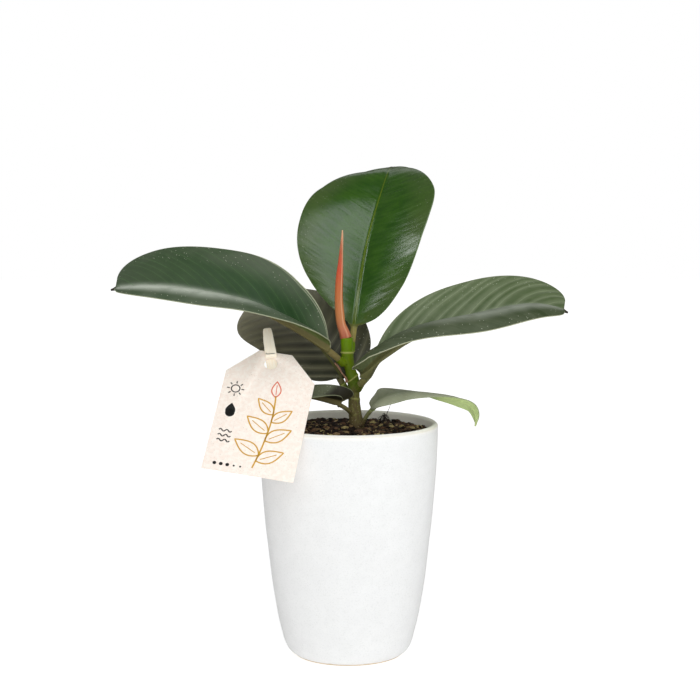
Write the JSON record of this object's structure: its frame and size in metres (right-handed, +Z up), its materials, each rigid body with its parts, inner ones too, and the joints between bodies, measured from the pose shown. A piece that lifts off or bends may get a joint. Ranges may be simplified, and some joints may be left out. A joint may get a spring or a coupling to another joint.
{
  "type": "potted rubber plant",
  "caption": "Young rubber plant with broad waxy leaves and a red bud sheath in a tapered glazed pot of soil, with a plain card tag held by a small clothes peg.",
  "frame": {"origin": "centre of the pot's flat foot, on the surface that it stands on", "axes": "+Z up; -Y towards the side with the tag, which the picture shows; +X to the right seen from there"},
  "size_m": [0.3304, 0.1941, 0.3556],
  "materials": {
    "glaze": "matte white glazed stoneware",
    "soil": "damp potting mix",
    "stem": "green and olive-brown bark",
    "leaf_bright": "waxy young leaf",
    "leaf_dark": "waxy dark leaf",
    "leaf_grey": "dull grey-green leaf",
    "sheath": "smooth red-orange sheath",
    "dry_strip": "dry papery brown",
    "card": "uncoated recycled card",
    "birch": "plain pale wood",
    "wire": "plain wire"
  },
  "bodies": {
    "plant": {"pot": "glaze", "soil": "soil", "stem": "stem", "leaf_top": "leaf_bright", "leaf_left": "leaf_dark", "leaf_right": "leaf_grey", "leaf_back": "leaf_dark", "leaf_low_left": "leaf_grey", "leaf_low_right": "leaf_grey", "bud_sheath": "sheath", "dry_strip": "dry_strip", "tag": "card", "peg_leg_back": "birch", "peg_spring": "wire"},
    "peg_front": {"peg_leg_front": "birch"}
  },
  "joints": [
    {"name": "peg_hinge", "type": "hinge", "parent": "plant", "child": "peg_front", "pos_m": [-0.05681, -0.00987, 0.2267], "axis": [-0.9875, -0.1219, -0.1], "range_deg": [0, 10], "stiffness_Nm_per_rad": 0.01, "springref_deg": -28.65}
  ]
}
